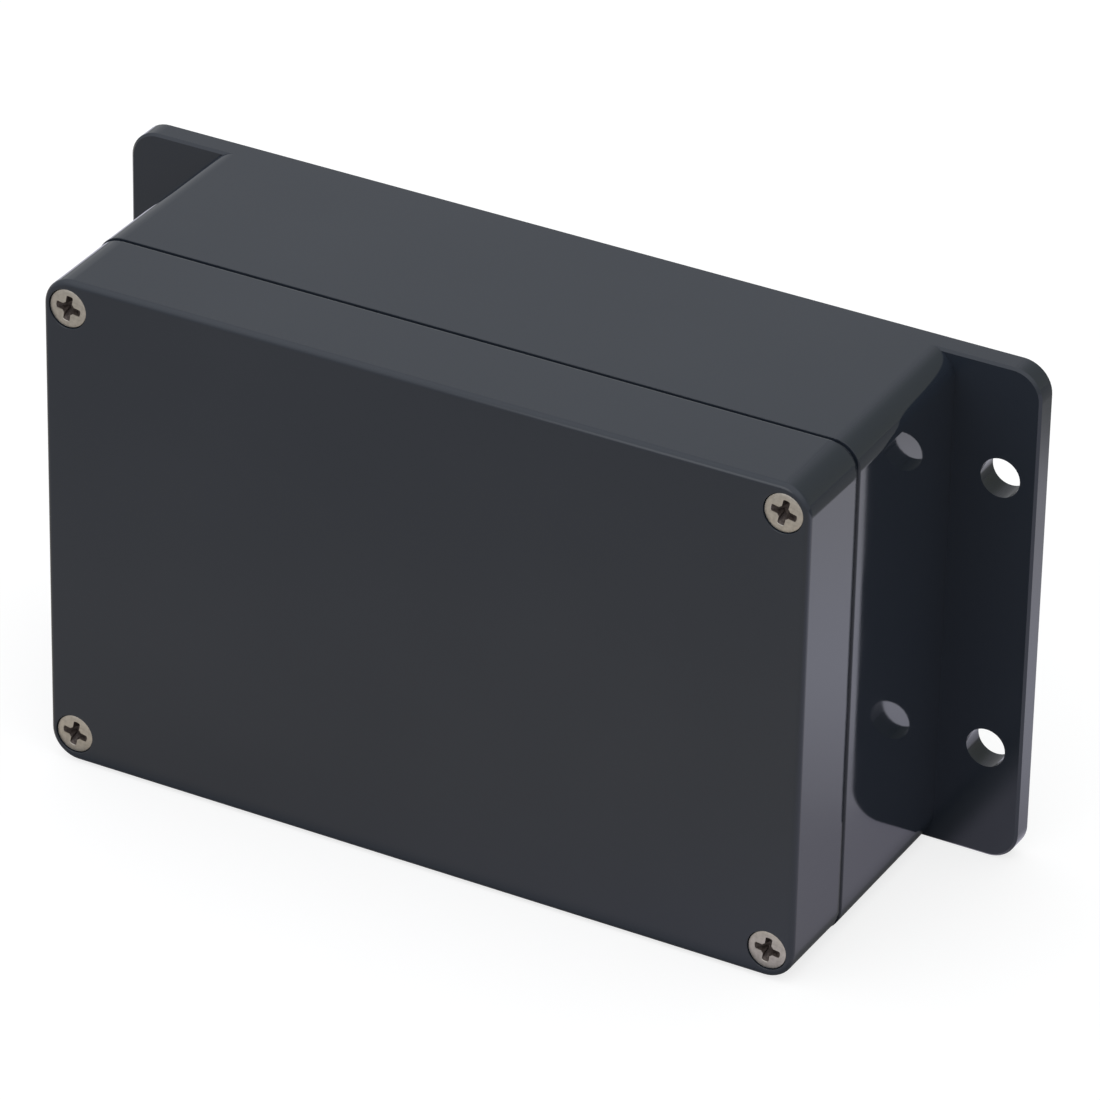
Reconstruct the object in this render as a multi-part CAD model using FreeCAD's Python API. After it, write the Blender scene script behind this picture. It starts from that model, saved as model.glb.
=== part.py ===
import FreeCAD, Part
import math
import os

# Sealed plastic project box: a tub with drilled end flanges, a deep lid, a gasket,
# four countersunk screws and four threaded inserts. Millimetres.
# X runs along the box, the lid faces -Y, the wall side faces +Y and Z is up.

# Outer form, measured where the lid meets the tub
LENGTH = 160.0
HEIGHT = 104.0
DEPTH = 64.0
LID_CORNER_R = 6.0
TUB_CORNER_R = 5.5
LID_DEPTH = 18.6
LID_EDGE_R = 1.2

# Taper towards the back: the lid and the tub's long walls grow, the tub's ends shrink
LID_DRAFT = math.tan(math.radians(0.25))
TUB_SIDE_DRAFT = math.tan(math.radians(0.5))
TUB_END_DRAFT = math.tan(math.radians(0.5))

# Shadow line round the seam, where the lid stands off from the tub's wall
SEAM_FIT = 0.1
SEAM_LINE_W = 0.95
SEAM_LINE_DEPTH = 0.8

# Flange that fixes the box to a wall. It stands out from both ends of the tub.
FLANGE_REACH = 17.0
FLANGE_THICK = 5.2
FLANGE_CORNER_R = 6.0
FLANGE_EDGE_CHAMFER = 0.5
BACK_EDGE_CHAMFER = 0.6
WALL_HOLE_D = 8.0
WALL_HOLE_TO_END = 7.4
WALL_HOLE_PITCH = 58.0

# Walls and cavities
TUB_WALL = 3.2
TUB_FLOOR = 3.2
LID_WALL = 3.6
LID_FRONT = 3.0
CAVITY_DRAFT = math.tan(math.radians(0.5))
CAVITY_CHAMFER = 1.0

# Corner posts, from the outside of the walls, and the line of the seal past them
POST_TO_END = 5.4
POST_TO_SIDE = 5.9
POST_TO_SEAL = 3.8
SEAL_BEND_R = 6.7

# Tongue, groove and gasket
TONGUE_INSET = 1.35
TONGUE_W = 1.1
TONGUE_SIDE_FIT = 0.15
GROOVE_DEPTH = 3.6
GASKET_THICK = 1.6
GASKET_SIDE_FIT = 0.05
GASKET_FIT = 0.1

# Lid screws
SCREW_LENGTH = 25.0
HEAD_D = 7.8
HEAD_LAND = 0.3
HEAD_SINK = 0.25
HEAD_SIDE_FIT = 0.15
SHANK_D = 3.9
SCREW_HOLE_D = 4.5
RECESS_SPAN = 5.4
RECESS_ARM_W = 1.4
RECESS_DEPTH = 2.0
RECESS_FOOT_SPAN = 2.2
RECESS_FOOT_ARM_W = 0.9

# Threaded inserts
INSERT_D = 6.0
INSERT_LENGTH = 8.0
INSERT_SET_BACK = 0.1
THREAD_FIT = 0.08
TIP_ROOM = 4.0

# Bosses for a circuit board, from the outside of the walls
BOSS_D = 7.0
BOSS_FOOT_D = 8.4
BOSS_H = 6.0
BOSS_ROOT = 1.0
BOSS_PILOT_D = 2.6
BOSS_PILOT_DEPTH = 5.0
BOSS_TO_WALL = 16.0

# Places that follow from the sizes
FRONT_Y = -DEPTH / 2
BACK_Y = DEPTH / 2
LID_RIM_Y = FRONT_Y + LID_DEPTH
TUB_RIM_Y = LID_RIM_Y + SEAM_FIT
FLANGE_Y = BACK_Y - FLANGE_THICK
FLOOR_Y = BACK_Y - TUB_FLOOR
GROOVE_Y = LID_RIM_Y - GROOVE_DEPTH
TONGUE_Y = GROOVE_Y + GASKET_THICK + GASKET_FIT
HEAD_Y = FRONT_Y + HEAD_SINK
POCKET_END_Y = HEAD_Y + SCREW_LENGTH + TIP_ROOM
CENTRE_Z = HEIGHT / 2 + (BACK_Y - BACK_EDGE_CHAMFER - LID_RIM_Y) * TUB_SIDE_DRAFT
FLANGE_END = LENGTH / 2 + FLANGE_REACH
POST = (LENGTH / 2 - POST_TO_END, HEIGHT / 2 - POST_TO_SIDE)
WALL_HOLE = (FLANGE_END - WALL_HOLE_TO_END, WALL_HOLE_PITCH / 2)
BOSS = (LENGTH / 2 - BOSS_TO_WALL, HEIGHT / 2 - BOSS_TO_WALL)

# How far each cross recess is turned, in degrees, as the screws came to rest
CORNERS = {
    "top_left": (-1, 1, 10.0),
    "top_right": (1, 1, 13.0),
    "bottom_left": (-1, -1, 11.0),
    "bottom_right": (1, -1, 8.0),
}


def polar(centre, radius, degrees):
    """A point at an angle from a centre, both in the X-Z plane."""
    angle = math.radians(degrees)
    return centre[0] + radius * math.cos(angle), centre[1] + radius * math.sin(angle)


def arc(centre, radius, start, end):
    """An arc as three points: its start, its middle and its end, by angle in degrees."""
    return [polar(centre, radius, angle) for angle in (start, (start + end) / 2, end)]


def symmetric_wire(corner, y):
    """A closed outline at depth y, mirrored from the arcs of its top right corner.

    The arcs run from the long side to the end, and straight lines join them.
    """
    arcs = []
    for side_x, side_z in ((1, 1), (1, -1), (-1, -1), (-1, 1)):
        mirrored = []
        for points in corner:
            mirrored.append([FreeCAD.Vector(side_x * x, y, CENTRE_Z + side_z * z) for x, z in points])
        if side_x != side_z:
            mirrored = [points[::-1] for points in mirrored[::-1]]
        arcs.extend(mirrored)
    edges = []
    for points, following in zip(arcs, arcs[1:] + arcs[:1]):
        edges.append(Part.Arc(*points).toShape())
        edges.append(Part.makeLine(points[-1], following[0]))
    return Part.Wire(edges)


def rounded_outline(half_x, half_z, radius, y):
    """A rectangle with rounded corners."""
    return symmetric_wire([arc((half_x - radius, half_z - radius), radius, 90, 0)], y)


def lid_outline(y):
    """The outside of the lid at depth y."""
    grow = (y - LID_RIM_Y) * LID_DRAFT
    return rounded_outline(LENGTH / 2 + grow, HEIGHT / 2 + grow, LID_CORNER_R + grow, y)


def tub_half_length(y):
    """Half the tub's outer length at depth y."""
    return LENGTH / 2 - (y - LID_RIM_Y) * TUB_END_DRAFT


def tub_half_height(y):
    """Half the outer height of tub and flange at depth y."""
    return HEIGHT / 2 + (y - LID_RIM_Y) * TUB_SIDE_DRAFT


def seal_outline(inset, y):
    """A line at a constant distance inside the walls that cuts each corner past its post.

    The bends share their centres at every inset, so two such lines stay parallel.
    """
    bend = SEAL_BEND_R - inset
    bend_x = LENGTH / 2 - SEAL_BEND_R
    bend_z = HEIGHT / 2 - SEAL_BEND_R
    diagonal = sum(POST) - (POST_TO_SEAL + SEAL_BEND_R) * math.sqrt(2)
    side_bend = arc((diagonal - bend_z, bend_z), bend, 90, 45)
    end_bend = arc((bend_x, diagonal - bend_x), bend, 45, 0)
    return symmetric_wire([side_bend, end_bend], y)


def loft(*outlines):
    """A solid through outlines, with straight sides from each to the next."""
    return Part.makeLoft(list(outlines), True, True)


def wedge(front, back, y0, y1, centre_z=0.0):
    """A block from depth y0 to y1 between two rectangles, each given by its two half sizes."""
    near = (-front[0], y0, centre_z - front[1])
    far = (centre_z - back[1], -back[0])
    return Part.makeWedge(*near, *far, front[0], y1, centre_z + front[1], centre_z + back[1], back[0])


def rounded_block(front_half_x, back_half_x, y0, radius):
    """A block from depth y0 to the back, as high as the tub, with its long edges rounded."""
    front = (front_half_x, tub_half_height(y0))
    back = (back_half_x, tub_half_height(BACK_Y))
    block = wedge(front, back, y0, BACK_Y, CENTRE_Z)
    long_edges = [edge for edge in block.Edges if edge.BoundBox.YLength > 0.001]
    return block.makeFillet(radius, long_edges)


def seal_ring(inset, width, y0, y1):
    """A band between two seal lines, from depth y0 to y1."""
    outer = loft(seal_outline(inset, y0), seal_outline(inset, y1))
    inner = loft(seal_outline(inset + width, y0), seal_outline(inset + width, y1))
    return outer.cut(inner)


def cylinder(x, z, diameter, y0, y1):
    """A round bar along Y. The height z is measured from the middle of the box."""
    base = FreeCAD.Vector(x, y0, CENTRE_Z + z)
    return Part.makeCylinder(diameter / 2, y1 - y0, base, FreeCAD.Vector(0, 1, 0))


def turned(profile, x, z, y0):
    """A turned piece from its profile of (radius, depth behind y0) points."""
    points = [FreeCAD.Vector(x + r, y0 + depth, CENTRE_Z + z) for r, depth in profile]
    face = Part.Face(Part.makePolygon(points + points[:1]))
    return face.revolve(FreeCAD.Vector(x, 0, CENTRE_Z + z), FreeCAD.Vector(0, 1, 0), 360)


def edges_at(shape, y):
    """The edges that lie wholly at one depth."""
    found = []
    for edge in shape.Edges:
        box = edge.BoundBox
        if abs(box.YMin - y) < 0.001 and abs(box.YMax - y) < 0.001:
            found.append(edge)
    return found


def four_places(place):
    """The place given and its mirror images in the box's two middle planes."""
    x, z = place
    return [(side_x * x, side_z * z) for side_x in (-1, 1) for side_z in (-1, 1)]


def cavity(wall, rim_y, end_y):
    """The hollow of a shell, drafted from its rim and chamfered at its far end."""
    inset = wall + abs(end_y - rim_y) * CAVITY_DRAFT
    hollow = loft(seal_outline(wall, rim_y), seal_outline(inset, end_y))
    return hollow.makeChamfer(CAVITY_CHAMFER, edges_at(hollow, end_y))


def board_boss(x, z):
    """A tapered boss that is rooted in the floor."""
    root = BOSS_H + BOSS_ROOT
    foot = BOSS_FOOT_D / 2
    profile = [(0, 0), (BOSS_D / 2, 0), (foot, BOSS_H), (foot, root), (0, root)]
    return turned(profile, x, z, FLOOR_Y - BOSS_H)


def make_tub():
    """The tub: drafted body on a set-back neck, flange, cavity, tongue, posts and bosses."""
    line_y = LID_RIM_Y + SEAM_LINE_W
    body = rounded_block(tub_half_length(line_y), tub_half_length(BACK_Y), line_y, TUB_CORNER_R)
    flange = rounded_block(FLANGE_END, FLANGE_END, FLANGE_Y, FLANGE_CORNER_R)
    flange = flange.makeChamfer(FLANGE_EDGE_CHAMFER, edges_at(flange, FLANGE_Y))
    tub = body.fuse(flange).removeSplitter()
    tub = tub.makeChamfer(BACK_EDGE_CHAMFER, edges_at(tub, BACK_Y))
    neck_x = tub_half_length(line_y) - SEAM_LINE_DEPTH
    neck_z = tub_half_height(line_y) - SEAM_LINE_DEPTH
    neck_r = TUB_CORNER_R - SEAM_LINE_DEPTH
    rim = rounded_outline(neck_x, neck_z, neck_r, TUB_RIM_Y)
    tub = tub.fuse(loft(rim, rounded_outline(neck_x, neck_z, neck_r, line_y)))
    tub = tub.cut(cavity(TUB_WALL, TUB_RIM_Y, FLOOR_Y))
    tub = tub.fuse(seal_ring(TONGUE_INSET, TONGUE_W, TONGUE_Y, TUB_RIM_Y))

    for x, z in four_places(POST):
        tub = tub.cut(cylinder(x, z, INSERT_D, TUB_RIM_Y, POCKET_END_Y))
    for x, z in four_places(WALL_HOLE):
        tub = tub.cut(cylinder(x, z, WALL_HOLE_D, FLANGE_Y, BACK_Y))
    boss_y = FLOOR_Y - BOSS_H
    for x, z in four_places(BOSS):
        tub = tub.fuse(board_boss(x, z))
        tub = tub.cut(cylinder(x, z, BOSS_PILOT_D, boss_y, boss_y + BOSS_PILOT_DEPTH))
    return tub.removeSplitter()


def make_lid():
    """The lid: drafted cap, cavity, gasket groove and countersunk screw holes."""
    lid = loft(lid_outline(FRONT_Y), lid_outline(LID_RIM_Y))
    lid = lid.makeFillet(LID_EDGE_R, edges_at(lid, FRONT_Y))
    lid = lid.cut(cavity(LID_WALL, LID_RIM_Y, FRONT_Y + LID_FRONT))
    inset = TONGUE_INSET - TONGUE_SIDE_FIT
    width = TONGUE_W + 2 * TONGUE_SIDE_FIT
    lid = lid.cut(seal_ring(inset, width, GROOVE_Y, LID_RIM_Y))

    rim = HEAD_D / 2 + HEAD_SIDE_FIT
    hole = SCREW_HOLE_D / 2
    seat = HEAD_SINK + HEAD_LAND
    sink = [(0, 0), (rim, 0), (rim, seat), (hole, seat + rim - hole), (0, seat + rim - hole)]
    for x, z in four_places(POST):
        lid = lid.cut(cylinder(x, z, SCREW_HOLE_D, FRONT_Y, LID_RIM_Y))
        lid = lid.cut(turned(sink, x, z, FRONT_Y))
    return lid.removeSplitter()


def make_gasket():
    """The rubber strip at the bottom of the groove."""
    inset = TONGUE_INSET - TONGUE_SIDE_FIT + GASKET_SIDE_FIT
    width = TONGUE_W + 2 * (TONGUE_SIDE_FIT - GASKET_SIDE_FIT)
    return seal_ring(inset, width, GROOVE_Y, GROOVE_Y + GASKET_THICK)


def make_screw(x, z, turn):
    """A countersunk machine screw with a cross recess."""
    head = HEAD_D / 2
    shank = SHANK_D / 2
    profile = [
        (0, 0),
        (head, 0),
        (head, HEAD_LAND),
        (shank, HEAD_LAND + head - shank),
        (shank, SCREW_LENGTH),
        (0, SCREW_LENGTH),
    ]
    mouth = (RECESS_SPAN / 2, RECESS_ARM_W / 2)
    foot = (RECESS_FOOT_SPAN / 2, RECESS_FOOT_ARM_W / 2)
    recess = wedge(mouth, foot, 0, RECESS_DEPTH)
    recess = recess.fuse(wedge(mouth[::-1], foot[::-1], 0, RECESS_DEPTH))
    recess.translate(FreeCAD.Vector(x, HEAD_Y, CENTRE_Z + z))
    recess.rotate(FreeCAD.Vector(x, 0, CENTRE_Z + z), FreeCAD.Vector(0, 1, 0), turn)
    return turned(profile, x, z, HEAD_Y).cut(recess)


def make_insert(x, z):
    """A brass insert in a post, as a plain sleeve."""
    start_y = TUB_RIM_Y + INSERT_SET_BACK
    sleeve = cylinder(x, z, INSERT_D, start_y, start_y + INSERT_LENGTH)
    return sleeve.cut(cylinder(x, z, SHANK_D + 2 * THREAD_FIT, start_y, start_y + INSERT_LENGTH))


os.makedirs("parts", exist_ok=True)
make_tub().exportStep("parts/base_shell.step")
make_lid().exportStep("parts/lid_cover.step")
make_gasket().exportStep("parts/lid_gasket.step")
for corner, (side_x, side_z, turn) in CORNERS.items():
    place_x = side_x * POST[0]
    place_z = side_z * POST[1]
    make_screw(place_x, place_z, turn).exportStep("parts/screw_" + corner + ".step")
    make_insert(place_x, place_z).exportStep("parts/insert_" + corner + ".step")
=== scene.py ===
import math

import bmesh
import bpy
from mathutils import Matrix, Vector


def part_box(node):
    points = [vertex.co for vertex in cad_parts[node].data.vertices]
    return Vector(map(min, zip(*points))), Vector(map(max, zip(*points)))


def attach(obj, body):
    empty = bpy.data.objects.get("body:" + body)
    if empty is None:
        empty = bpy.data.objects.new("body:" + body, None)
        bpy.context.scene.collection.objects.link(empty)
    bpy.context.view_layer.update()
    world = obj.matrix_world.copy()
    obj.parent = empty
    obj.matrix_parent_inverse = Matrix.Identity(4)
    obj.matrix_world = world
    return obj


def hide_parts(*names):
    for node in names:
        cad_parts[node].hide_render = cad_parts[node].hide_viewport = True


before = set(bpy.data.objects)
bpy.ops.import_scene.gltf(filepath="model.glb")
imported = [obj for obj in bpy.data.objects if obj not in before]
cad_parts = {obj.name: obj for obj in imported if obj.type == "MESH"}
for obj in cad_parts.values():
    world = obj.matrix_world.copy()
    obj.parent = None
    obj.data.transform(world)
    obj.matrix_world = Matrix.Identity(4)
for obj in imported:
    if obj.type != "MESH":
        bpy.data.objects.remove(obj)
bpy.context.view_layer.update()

# Plastic project box, in metres: X runs along the box, the lid faces -Y and Z is up
MM = 0.001

# Camera, as solved from the photograph's edges
CAMERA_PLACE = (0.58868, -1.07173, 0.76132)
CAMERA_TURN = (59.921, -0.999, 28.918)
CAMERA_REACH = 20.0
FOCAL_LENGTH_MM = 246.93
SENSOR_MM = 36.0

# Screws: head, shank and metric thread. The broken rim's middle is in shares of its size.
HEAD_R = 3.9 * MM
HEAD_LAND = 0.3 * MM
HEAD_BREAK = 0.12 * MM
BREAK_MIDDLE = (0.35, 0.3)
SHANK_R = 1.95 * MM
PLAIN_SHANK = 1.2 * MM
TIP_LENGTH = 0.7 * MM
TIP_TAPER = 0.9
THREAD_PITCH = 0.7 * MM
THREAD_DEPTH = 0.38 * MM
STEPS_PER_TURN = 6
SCREW_SEGMENTS = 48

# Cross recess in each screw head, with its foot's sizes as shares of its mouth's
RECESS_SPAN = 5.4 * MM
RECESS_ARM = 1.4 * MM
RECESS_CORE = 1.35 * MM
RECESS_DEPTH = 2.0 * MM
RECESS_LIP = 0.1 * MM
BELOW_LIP = 0.97
FOOT_SPAN = 0.42
FOOT_ARM = 0.7
FOOT_CORE = 0.55
ARM_END_BULGE = 0.35
CROSS_STEPS = 4

# Angle at which each screw's cross has come to rest, in degrees
SCREW_TURNS = {
    "top_left": 10.0,
    "top_right": 13.0,
    "bottom_left": 11.0,
    "bottom_right": 8.0,
}

# Brass inserts, with the places of their waist as shares of their length
KNURL_COUNT = 36
KNURL_DEPTH = 0.16 * MM
LEAD_IN = 0.3 * MM
LEAD_OUT = 0.4 * MM
WAIST_DEPTH = 0.45 * MM
WAIST_START = (0.4, 0.44)
WAIST_END = (0.56, 0.6)
BORE_R = 2.03 * MM
BORE_THREAD_DEPTH = 0.3 * MM
BORE_THREAD_START = 0.25 * MM
BORE_MOUTH = 0.12 * MM

# Edges sharper than this stay sharp on the detailed pieces
SHARP_DEGREES = 35

# Plastic: the flanges are duller, and start at a distance from the box's middle
FLANGE_START = 80.3 * MM
FLANGE_DULLNESS = 0.10

# Plastic: softness of the edges, none on the flanges and where they meet the tub
EDGE_SOFTNESS = 0.3 * MM
EDGE_SAMPLES = 6
FLANGE_ROOT = 26.8 * MM

# Plastic: width over which the dullness and the softness change
BLEND = 1 * MM

# Plastic: rims beside the seam on the box's ends, which look rounder than its other edges
SEAM_Y = -13.4 * MM
SEAM_RIM_SPAN = (0.9 * MM, 1.8 * MM)
END_FACE_SPAN = (79.3 * MM, 79.7 * MM)
END_RIM_SOFTNESS = 1.0 * MM

# Surround, as the gloss sees it: even and pale, brighter overhead, darker behind on the right
WHITE = (1.0, 1.0, 1.0)
SKY_TINT = (1.0, 1.015, 1.035)
SKY_LEVEL = 0.57
OVERHEAD_LEVEL = 1.05
OVERHEAD_SIDE = (0.0, -0.35, 0.94)
OVERHEAD_SPAN = (0.3, 0.95)
DARK_TINT = (1.0, 1.04, 0.91)
DARK_LEVEL = 0.36
DARK_SIDE = (0.50, 0.76, 0.41)
DARK_SPAN = (0.70, 0.97)

# Lamp in the surround, in front on the left, with a straight edge on its right
LAMP_LEVEL = 1.0
LAMP_SIDE = (-0.30, -0.90, 0.32)
LAMP_SPAN = (0.94, 0.978)
LAMP_EDGE = (-0.435, -0.402)

# Softboxes: name, place, size and power
SOFTBOXES = (
    ("overhead", (0.1, 0.0, 1.3), (1.4, 1.4), 2.5),
    ("front", (-0.6, -1.1, 0.5), (1.2, 1.0), 1.0),
)
SOFTBOX_AIM = (0.0, 0.0, 0.05)

# Floor: its own grey, and the glow added to it for the camera and in the gloss
FLOOR_HALF = 6.0
FLOOR_GREY = (0.32, 0.32, 0.32)
CAMERA_FLOOR_GLOW = 0.75
FLOOR_AXIS = (0.48, 0.88, 0.0)
FLOOR_SPAN = (-0.25, 0.35)
FLOOR_GLOW = (
    (-0.22, (0.18, 0.155, 0.13)),
    (-0.07, (0.28, 0.24, 0.19)),
    (0.055, (0.41, 0.39, 0.49)),
    (0.13, (0.69, 0.69, 0.85)),
    (0.205, (0.62, 0.61, 0.71)),
    (0.255, (0.02, 0.02, 0.015)),
)

# Foot of the box on the floor: half its size, and how far its shade reaches
FOOT_HALF = (80 * MM, 32 * MM, 0)
FOOT_SHADE_REACH = 6 * MM


def opaque(tone):
    """A colour with full cover, from red, green and blue or from one grey level."""
    red, green, blue = tone if isinstance(tone, tuple) else (tone, tone, tone)
    return red, green, blue, 1


class Shading:
    """The nodes of a material or of the world, with short ways to add to them."""

    def __init__(self, owner):
        owner.use_nodes = True
        self.tree = owner.node_tree
        self.coordinates = self.add("TexCoord", {}).outputs
        self.place = self.coordinates["Object"]

    def add(self, kind, inputs, **settings):
        node = self.tree.nodes.new("ShaderNode" + kind)
        for name, value in settings.items():
            setattr(node, name, value)
        self.fill(node, inputs)
        return node

    def fill(self, node, inputs):
        """Links each input that is given a socket, and sets the others."""
        for name, value in inputs.items():
            if isinstance(value, bpy.types.NodeSocket):
                self.tree.links.new(value, node.inputs[name])
            else:
                node.inputs[name].default_value = value

    def math(self, operation, *values):
        return self.add("Math", dict(enumerate(values)), operation=operation).outputs["Value"]

    def vector_math(self, operation, *values):
        node = self.add("VectorMath", dict(enumerate(values)), operation=operation)
        return node.outputs["Value" if operation in ("DOT_PRODUCT", "LENGTH") else "Vector"]

    def change(self, value, span, levels=(0, 1), easing="SMOOTHSTEP"):
        """Goes from one level to another while a value crosses a span."""
        inputs = {"Value": value}
        inputs["From Min"], inputs["From Max"] = span
        inputs["To Min"], inputs["To Max"] = levels
        return self.add("MapRange", inputs, interpolation_type=easing).outputs["Result"]

    def mix(self, factor, first, second):
        inputs = {"Factor": factor, "A": first, "B": second}
        return self.add("Mix", inputs, data_type="FLOAT").outputs["Result"]

    def mix_colours(self, factor, first, second):
        inputs = {"Fac": factor, "Color1": first, "Color2": second}
        return self.add("MixRGB", inputs).outputs["Color"]

    def ramp(self, value, stops, easing="LINEAR"):
        """A tone that follows a value, through stops that are a position and a tone each."""
        node = self.add("ValToRGB", {"Fac": value})
        node.color_ramp.interpolation = easing
        elements = node.color_ramp.elements
        while len(elements) < len(stops):
            elements.new(0.5)
        for element, (position, tone) in zip(elements, stops):
            element.position = position
            element.color = opaque(tone)
        return node.outputs["Color"]

    def noise(self, scale, detail, roughness=0.5):
        inputs = {"Vector": self.place, "Scale": scale, "Detail": detail, "Roughness": roughness}
        return self.add("TexNoise", inputs).outputs["Fac"]

    def mottle(self, noise, tones, span=(0.35, 0.65)):
        """Patches between two tones."""
        return self.ramp(noise, tuple(zip(span, tones)))

    def bump(self, height, distance, strength, over=None):
        """A normal with relief, laid over another normal where one is given."""
        inputs = {"Height": height, "Distance": distance, "Strength": strength}
        if over is not None:
            inputs["Normal"] = over
        return self.add("Bump", inputs).outputs["Normal"]


def new_material(name):
    """A material with its nodes and its shader."""
    material = bpy.data.materials.new(name)
    shading = Shading(material)
    return material, shading, shading.tree.nodes["Principled BSDF"]


def moulded_plastic():
    """Dark blue-grey ABS: glossy, with faint flow marks, a soft waviness and fine grain.

    The flanges, outside the tub's ends, come from a duller part of the mould.
    """
    material, shading, shader = new_material("moulded_plastic")
    split = shading.add("SeparateXYZ", {"Vector": shading.place}).outputs
    outward = shading.math("ABSOLUTE", split["X"])
    tones = ((0.0190, 0.0248, 0.0360), (0.0220, 0.0278, 0.0390))
    flow = shading.noise(scale=18.0, detail=3.0)
    haze = shading.noise(scale=60.0, detail=4.0)
    flange_span = (FLANGE_START, FLANGE_START + BLEND)
    flange = shading.change(outward, flange_span, (0, FLANGE_DULLNESS), "LINEAR")

    # Softness of the edges, then the grain and the waviness over them
    root_span = (FLANGE_ROOT - 2 * BLEND, FLANGE_ROOT - BLEND)
    edge = shading.change(split["Y"], root_span, (EDGE_SOFTNESS, 0), "LINEAR")
    from_seam = shading.math("ABSOLUTE", shading.math("SUBTRACT", split["Y"], SEAM_Y))
    rim = shading.change(from_seam, SEAM_RIM_SPAN, (END_RIM_SOFTNESS, 0))
    at_end = shading.change(outward, END_FACE_SPAN)
    radius = shading.math("MULTIPLY_ADD", rim, at_end, edge)
    worn = shading.add("Bevel", {"Radius": radius}, samples=EDGE_SAMPLES).outputs["Normal"]
    grain = shading.noise(scale=2600.0, detail=2.0)
    fine = shading.bump(grain, distance=0.004 * MM, strength=0.35, over=worn)
    waviness = shading.noise(scale=35.0, detail=1.0)
    shading.fill(shader, {
        "Base Color": shading.mottle(flow, tones),
        "Roughness": shading.math("ADD", shading.mottle(haze, (0.035, 0.06)), flange),
        "IOR": 1.5,
        "Normal": shading.bump(waviness, distance=0.05 * MM, strength=0.25, over=fine),
    })
    return material


def plated_steel():
    """Nickel-plated steel with lathe marks and small patches of dulling."""
    material, shading, shader = new_material("plated_steel")
    tones = ((0.47, 0.44, 0.395), (0.61, 0.575, 0.52))
    wave = {"Vector": shading.place, "Scale": 1900.0, "Distortion": 2.0, "Detail": 2.0}
    lathe = shading.add("TexWave", wave, wave_type="RINGS", rings_direction="Y").outputs["Fac"]
    marks = shading.bump(lathe, distance=0.004 * MM, strength=0.4)
    stains = shading.noise(scale=900.0, detail=4.0, roughness=0.6)
    haze = shading.noise(scale=1500.0, detail=3.0)
    pits = shading.noise(scale=5000.0, detail=3.0)
    shading.fill(shader, {
        "Base Color": shading.mottle(stains, tones, span=(0.3, 0.6)),
        "Metallic": 1.0,
        "Roughness": shading.mottle(haze, (0.28, 0.48)),
        "Normal": shading.bump(pits, distance=0.02 * MM, strength=0.4, over=marks),
    })
    return material


def recess_steel():
    """The inside of a screw's cross recess: dull, and darkened by painted shade, uneven in
    patches.
    """
    material, shading, shader = new_material("recess_steel")
    # Painted shade: both tones are dark and stand in for the shade inside the recess
    tones = ((0.055, 0.041, 0.038), (0.14, 0.112, 0.10))
    painted_recess_shade = shading.noise(scale=1600.0, detail=3.0, roughness=0.6)
    haze = shading.noise(scale=2500.0, detail=3.0)
    pits = shading.noise(scale=6000.0, detail=3.0)
    shading.fill(shader, {
        "Base Color": shading.mottle(painted_recess_shade, tones, span=(0.35, 0.7)),
        "Metallic": 0.4,
        "Roughness": shading.mottle(haze, (0.38, 0.6)),
        "Normal": shading.bump(pits, distance=0.02 * MM, strength=0.6),
    })
    return material


def turned_brass():
    """Turned brass, a little tarnished."""
    material, shading, shader = new_material("turned_brass")
    tones = ((0.55, 0.36, 0.12), (0.82, 0.60, 0.27))
    tarnish = shading.noise(scale=500.0, detail=4.0, roughness=0.6)
    haze = shading.noise(scale=1200.0, detail=3.0)
    marks = shading.noise(scale=4000.0, detail=2.0)
    shading.fill(shader, {
        "Base Color": shading.mottle(tarnish, tones, span=(0.3, 0.7)),
        "Metallic": 1.0,
        "Roughness": shading.mottle(haze, (0.22, 0.42)),
        "Normal": shading.bump(marks, distance=0.015 * MM, strength=0.4),
    })
    return material


def gasket_rubber():
    """Black gasket rubber with a dusty bloom."""
    material, shading, shader = new_material("gasket_rubber")
    tones = ((0.012, 0.012, 0.013), (0.035, 0.035, 0.036))
    bloom = shading.noise(scale=120.0, detail=5.0, roughness=0.65)
    haze = shading.noise(scale=300.0, detail=3.0)
    grain = shading.noise(scale=3500.0, detail=3.0)
    shading.fill(shader, {
        "Base Color": shading.mottle(bloom, tones),
        "Roughness": shading.mottle(haze, (0.62, 0.85)),
        "Normal": shading.bump(grain, distance=0.03 * MM, strength=0.5),
    })
    return material


def new_object(name, bm):
    """An object from a mesh under construction."""
    mesh = bpy.data.meshes.new(name)
    bm.normal_update()
    bm.to_mesh(mesh)
    bm.free()
    obj = bpy.data.objects.new(name, mesh)
    bpy.context.scene.collection.objects.link(obj)
    return obj


def smooth_object(name, bm):
    """An object with outward normals and smooth shading that keeps its sharp edges."""
    bmesh.ops.recalc_face_normals(bm, faces=bm.faces)
    obj = new_object(name, bm)
    mesh = obj.data
    mesh.polygons.foreach_set("use_smooth", [True] * len(mesh.polygons))
    mesh.set_sharp_from_angle(angle=math.radians(SHARP_DEGREES))
    return obj


def add_ring(bm, centre, depth, radii):
    """Points round an axis along +Y, at a depth behind a centre, with a radius for each."""
    points = []
    for i, radius in enumerate(radii):
        angle = 2 * math.pi * i / len(radii)
        x = centre.x + radius * math.cos(angle)
        z = centre.z + radius * math.sin(angle)
        points.append(bm.verts.new((x, centre.y + depth, z)))
    return points


def join_rings(bm, rings, close_end=False):
    """Joins rings of as many points each with quads, and returns the faces."""
    count = len(rings[0])
    faces = []
    for low, high in zip(rings, rings[1:]):
        for i in range(count):
            j = (i + 1) % count
            faces.append(bm.faces.new((low[i], low[j], high[j], high[i])))
    if close_end:
        faces.append(bm.faces.new(rings[-1]))
    return faces


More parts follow.
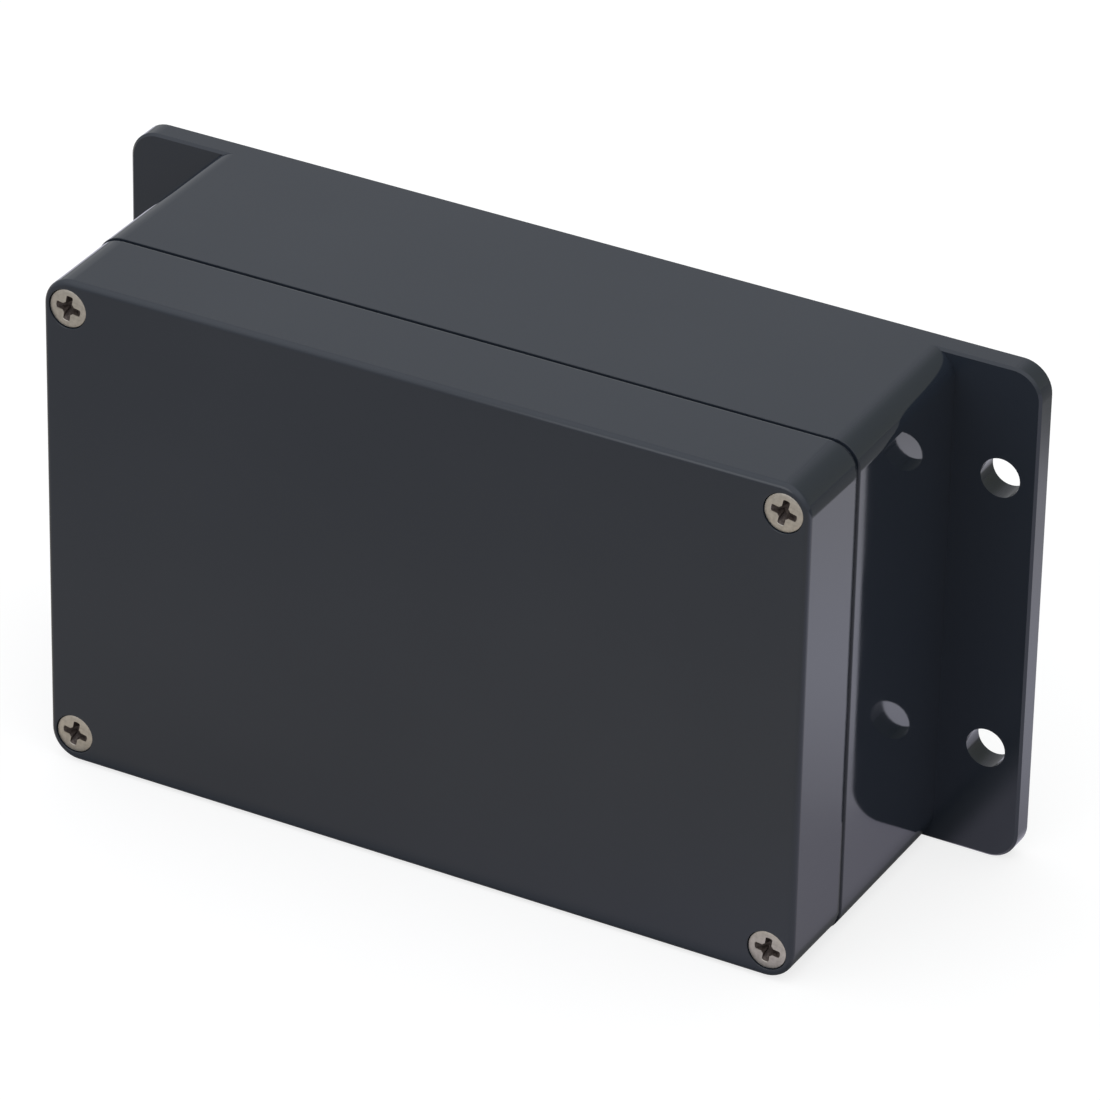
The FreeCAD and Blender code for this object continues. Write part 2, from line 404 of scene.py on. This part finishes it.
def thread_radii(largest, depth, row, count):
    """The radii round a thread at one of its rows, which follow the helix."""
    radii = []
    for i in range(count):
        phase = (row / STEPS_PER_TURN + i / count) % 1.0
        radii.append(largest - depth * (0.5 + 0.5 * math.cos(2 * math.pi * phase)))
    return radii


def cross_outline(span, arm, core):
    """The outline of a cross with bulging arm ends and inner corners rounded by a core circle."""
    half = arm / 2
    bulge = half * ARM_END_BULGE
    lean = math.asin(half / core)
    arm_start = core * math.cos(lean)
    quarter = [(arm_start, -half)]
    for step in range(CROSS_STEPS + 1):
        angle = math.pi / 2 * (1 - 2 * step / CROSS_STEPS)
        quarter.append((span / 2 - bulge + bulge * math.cos(angle), -half * math.sin(angle)))
    quarter.append((arm_start, half))
    for step in range(1, CROSS_STEPS):
        angle = lean + (math.pi / 2 - 2 * lean) * step / CROSS_STEPS
        quarter.append((core * math.cos(angle), core * math.sin(angle)))
    outline = []
    for arm_number in range(4):
        turn = arm_number * math.pi / 2
        cos, sin = math.cos(turn), math.sin(turn)
        outline.extend((u * cos - v * sin, u * sin + v * cos) for u, v in quarter)
    return outline


def build_screw(name, length):
    """A countersunk screw along +Y, with the top of its head at the origin."""
    bm = bmesh.new()
    cone_end = HEAD_LAND + HEAD_R - SHANK_R

    def ring(radius, depth):
        return add_ring(bm, Vector(), depth, [radius] * SCREW_SEGMENTS)

    # Head: broken rim, land and cone
    rim = ring(HEAD_R - HEAD_BREAK, 0)
    head = [
        rim,
        ring(HEAD_R - HEAD_BREAK * BREAK_MIDDLE[0], HEAD_BREAK * BREAK_MIDDLE[1]),
        ring(HEAD_R, HEAD_BREAK),
        ring(HEAD_R, HEAD_LAND),
        ring(SHANK_R, cone_end),
    ]
    join_rings(bm, head)

    # Thread, which runs out over one turn at both ends
    start = cone_end + PLAIN_SHANK
    rows = int((length - TIP_LENGTH - start) / THREAD_PITCH * STEPS_PER_TURN)
    shank = [head[-1], ring(SHANK_R, start)]
    for row in range(1, rows + 1):
        depth = start + row * THREAD_PITCH / STEPS_PER_TURN
        share = min(1.0, (rows - row) / STEPS_PER_TURN, row / STEPS_PER_TURN)
        radii = thread_radii(SHANK_R, THREAD_DEPTH * share, row, SCREW_SEGMENTS)
        shank.append(add_ring(bm, Vector(), depth, radii))
    shank.append(ring(SHANK_R - TIP_LENGTH * TIP_TAPER, length))
    join_rings(bm, shank, close_end=True)

    # Recess: mouth, lip and foot, with the second material below the lip
    outline = cross_outline(RECESS_SPAN, RECESS_ARM, RECESS_CORE)
    foot_size = (RECESS_SPAN * FOOT_SPAN, RECESS_ARM * FOOT_ARM, RECESS_CORE * FOOT_CORE)
    mouth = [bm.verts.new((u, 0, v)) for u, v in outline]
    lip = [bm.verts.new((u * BELOW_LIP, RECESS_LIP, v * BELOW_LIP)) for u, v in outline]
    foot = [bm.verts.new((u, RECESS_DEPTH, v)) for u, v in cross_outline(*foot_size)]
    for face in join_rings(bm, [lip, foot], close_end=True):
        face.material_index = 1
    join_rings(bm, [mouth, lip])

    # Flat top between the rim and the mouth
    border = []
    for loop in (rim, mouth):
        for ends in zip(loop, loop[1:] + loop[:1]):
            border.append(bm.edges.get(ends) or bm.edges.new(ends))
    bmesh.ops.triangle_fill(bm, edges=border, use_beauty=True, use_dissolve=False)
    return smooth_object(name, bm)


def build_insert(name, centre, outer, length):
    """A knurled sleeve along +Y, with a waist and a threaded bore."""
    bm = bmesh.new()
    segments = 2 * KNURL_COUNT
    bore_root = BORE_R + BORE_THREAD_DEPTH
    knurls = [outer, outer - KNURL_DEPTH] * KNURL_COUNT

    def knurled(depth):
        return add_ring(bm, centre, depth, knurls)

    def plain(radius, depth):
        return add_ring(bm, centre, depth, [radius] * segments)

    waist = outer - WAIST_DEPTH
    outside = [
        plain(outer - LEAD_IN, 0),
        knurled(LEAD_IN),
        knurled(length * WAIST_START[0]),
        plain(waist, length * WAIST_START[1]),
        plain(waist, length * WAIST_END[0]),
        knurled(length * WAIST_END[1]),
        knurled(length - LEAD_OUT),
        plain(outer - LEAD_OUT, length),
    ]
    inside = [plain(bore_root + BORE_MOUTH, 0)]
    rows = int((length - LEAD_IN) / THREAD_PITCH * STEPS_PER_TURN)
    for row in range(rows + 1):
        depth = BORE_THREAD_START + row * THREAD_PITCH / STEPS_PER_TURN
        radii = thread_radii(bore_root, BORE_THREAD_DEPTH, row, segments)
        inside.append(add_ring(bm, centre, min(depth, length), radii))
    inside.append(plain(bore_root, length))
    for rings in (outside, inside, [outside[0], inside[0]], [outside[-1], inside[-1]]):
        join_rings(bm, rings)
    return smooth_object(name, bm)


def seat_of(node):
    """The middle of a node's front end, its radius and its length."""
    low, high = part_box(node)
    middle = Vector(((low.x + high.x) / 2, low.y, (low.z + high.z) / 2))
    return middle, (high.x - low.x) / 2, high.y - low.y


def put_in_place(piece, node, body, materials):
    """Puts a detailed piece in the place of a plain one from the CAD model."""
    for material in materials:
        piece.data.materials.append(material)
    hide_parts(node)
    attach(piece, body)


def pale_floor():
    """A floor that is white to the camera where no shadow falls on it.

    In the gloss it glows along FLOOR_GLOW, and is dark at the object's foot.
    """
    bm = bmesh.new()
    bmesh.ops.create_grid(bm, x_segments=1, y_segments=1, size=FLOOR_HALF)
    floor = new_object("floor", bm)
    material, shading, shader = new_material("pale_floor")
    matt = {"Base Color": opaque(FLOOR_GREY), "Roughness": 1.0, "Specular IOR Level": 0.0}
    shading.fill(shader, matt)
    ray = shading.add("LightPath", {}).outputs

    # Glow along the floor, from the front on the left to behind on the right
    along = shading.vector_math("DOT_PRODUCT", shading.place, FLOOR_AXIS)
    start, end = FLOOR_SPAN
    stops = [((distance - start) / (end - start), tone) for distance, tone in FLOOR_GLOW]
    glow = shading.ramp(shading.change(along, FLOOR_SPAN, (0, 1), "LINEAR"), stops, "EASE")

    # Shade where the object's foot meets the floor
    aside = shading.vector_math("ABSOLUTE", shading.place)
    beyond = shading.vector_math("SUBTRACT", aside, FOOT_HALF)
    outside = shading.vector_math("MAXIMUM", beyond, (0, 0, 0))
    clear = shading.change(shading.vector_math("LENGTH", outside), (0, FOOT_SHADE_REACH))

    # Light added to the matt floor, in the gloss and then to the camera
    gloss_strength = shading.math("MULTIPLY", clear, ray["Is Glossy Ray"])
    camera_strength = shading.math("MULTIPLY", ray["Is Camera Ray"], CAMERA_FLOOR_GLOW)
    surface = shader.outputs["BSDF"]
    for colour, strength in ((glow, gloss_strength), (opaque(WHITE), camera_strength)):
        added = shading.add("Emission", {"Color": colour, "Strength": strength})
        both = {0: surface, 1: added.outputs["Emission"]}
        surface = shading.add("AddShader", both).outputs["Shader"]
    shading.fill(shading.tree.nodes["Material Output"], {"Surface": surface})
    floor.data.materials.append(material)


def surround():
    """The world round the object. The camera sees it plain white."""
    world = bpy.data.worlds.new("surround")
    bpy.context.scene.world = world
    shading = Shading(world)
    to_camera = shading.add("LightPath", {}).outputs["Is Camera Ray"]

    def towards(side, span, levels=(0, 1)):
        closeness = shading.vector_math("DOT_PRODUCT", shading.coordinates["Generated"], side)
        return shading.change(closeness, span, levels)

    open_sky = towards(OVERHEAD_SIDE, OVERHEAD_SPAN, (SKY_LEVEL, OVERHEAD_LEVEL))
    in_dark = towards(DARK_SIDE, DARK_SPAN)
    shaded = shading.mix(in_dark, open_sky, DARK_LEVEL)
    left_of_edge = towards((1, 0, 0), LAMP_EDGE, (0, LAMP_LEVEL))
    near_lamp = towards(LAMP_SIDE, LAMP_SPAN)
    lit = shading.math("MULTIPLY_ADD", left_of_edge, near_lamp, shaded)
    tint = shading.mix_colours(in_dark, opaque(SKY_TINT), opaque(DARK_TINT))
    shading.fill(shading.tree.nodes["Background"], {
        "Strength": shading.mix(to_camera, lit, 1.0),
        "Color": shading.mix_colours(to_camera, tint, opaque(WHITE)),
    })


def softbox(name, place, size, power):
    """A large soft light that lights surfaces without showing in their gloss."""
    light = bpy.data.lights.new(name, "AREA")
    light.shape = "RECTANGLE"
    light.size, light.size_y = size
    light.energy = power
    obj = bpy.data.objects.new(name, light)
    bpy.context.scene.collection.objects.link(obj)
    obj.location = place
    direction = Vector(SOFTBOX_AIM) - Vector(place)
    obj.rotation_euler = direction.to_track_quat("-Z", "Y").to_euler()
    obj.visible_glossy = False


def camera():
    """The camera at the photograph's place."""
    data = bpy.data.cameras.new("camera")
    data.sensor_width = SENSOR_MM
    data.lens = FOCAL_LENGTH_MM
    data.clip_end = CAMERA_REACH
    obj = bpy.data.objects.new("camera", data)
    bpy.context.scene.collection.objects.link(obj)
    obj.location = CAMERA_PLACE
    obj.rotation_euler = [math.radians(angle) for angle in CAMERA_TURN]
    bpy.context.scene.camera = obj


plastic = moulded_plastic()
rubber = gasket_rubber()
dressing = {"base_shell": plastic, "lid_cover": plastic, "lid_gasket": rubber}
for node_name, material in dressing.items():
    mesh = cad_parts[node_name].data
    mesh.materials.clear()
    mesh.materials.append(material)

screw_materials = (plated_steel(), recess_steel())
for corner, turn in SCREW_TURNS.items():
    node_name = "screw_" + corner
    middle, radius, length = seat_of(node_name)
    screw = build_screw("detailed_" + node_name, length)
    screw.location = middle
    screw.rotation_euler = (0, math.radians(turn), 0)
    put_in_place(screw, node_name, node_name + "_body", screw_materials)

brass = turned_brass()
for corner in SCREW_TURNS:
    node_name = "insert_" + corner
    insert = build_insert("detailed_" + node_name, *seat_of(node_name))
    put_in_place(insert, node_name, "base", (brass,))

pale_floor()
surround()
for name, place, size, power in SOFTBOXES:
    softbox(name, place, size, power)
camera()
bpy.context.scene.view_settings.view_transform = "Standard"
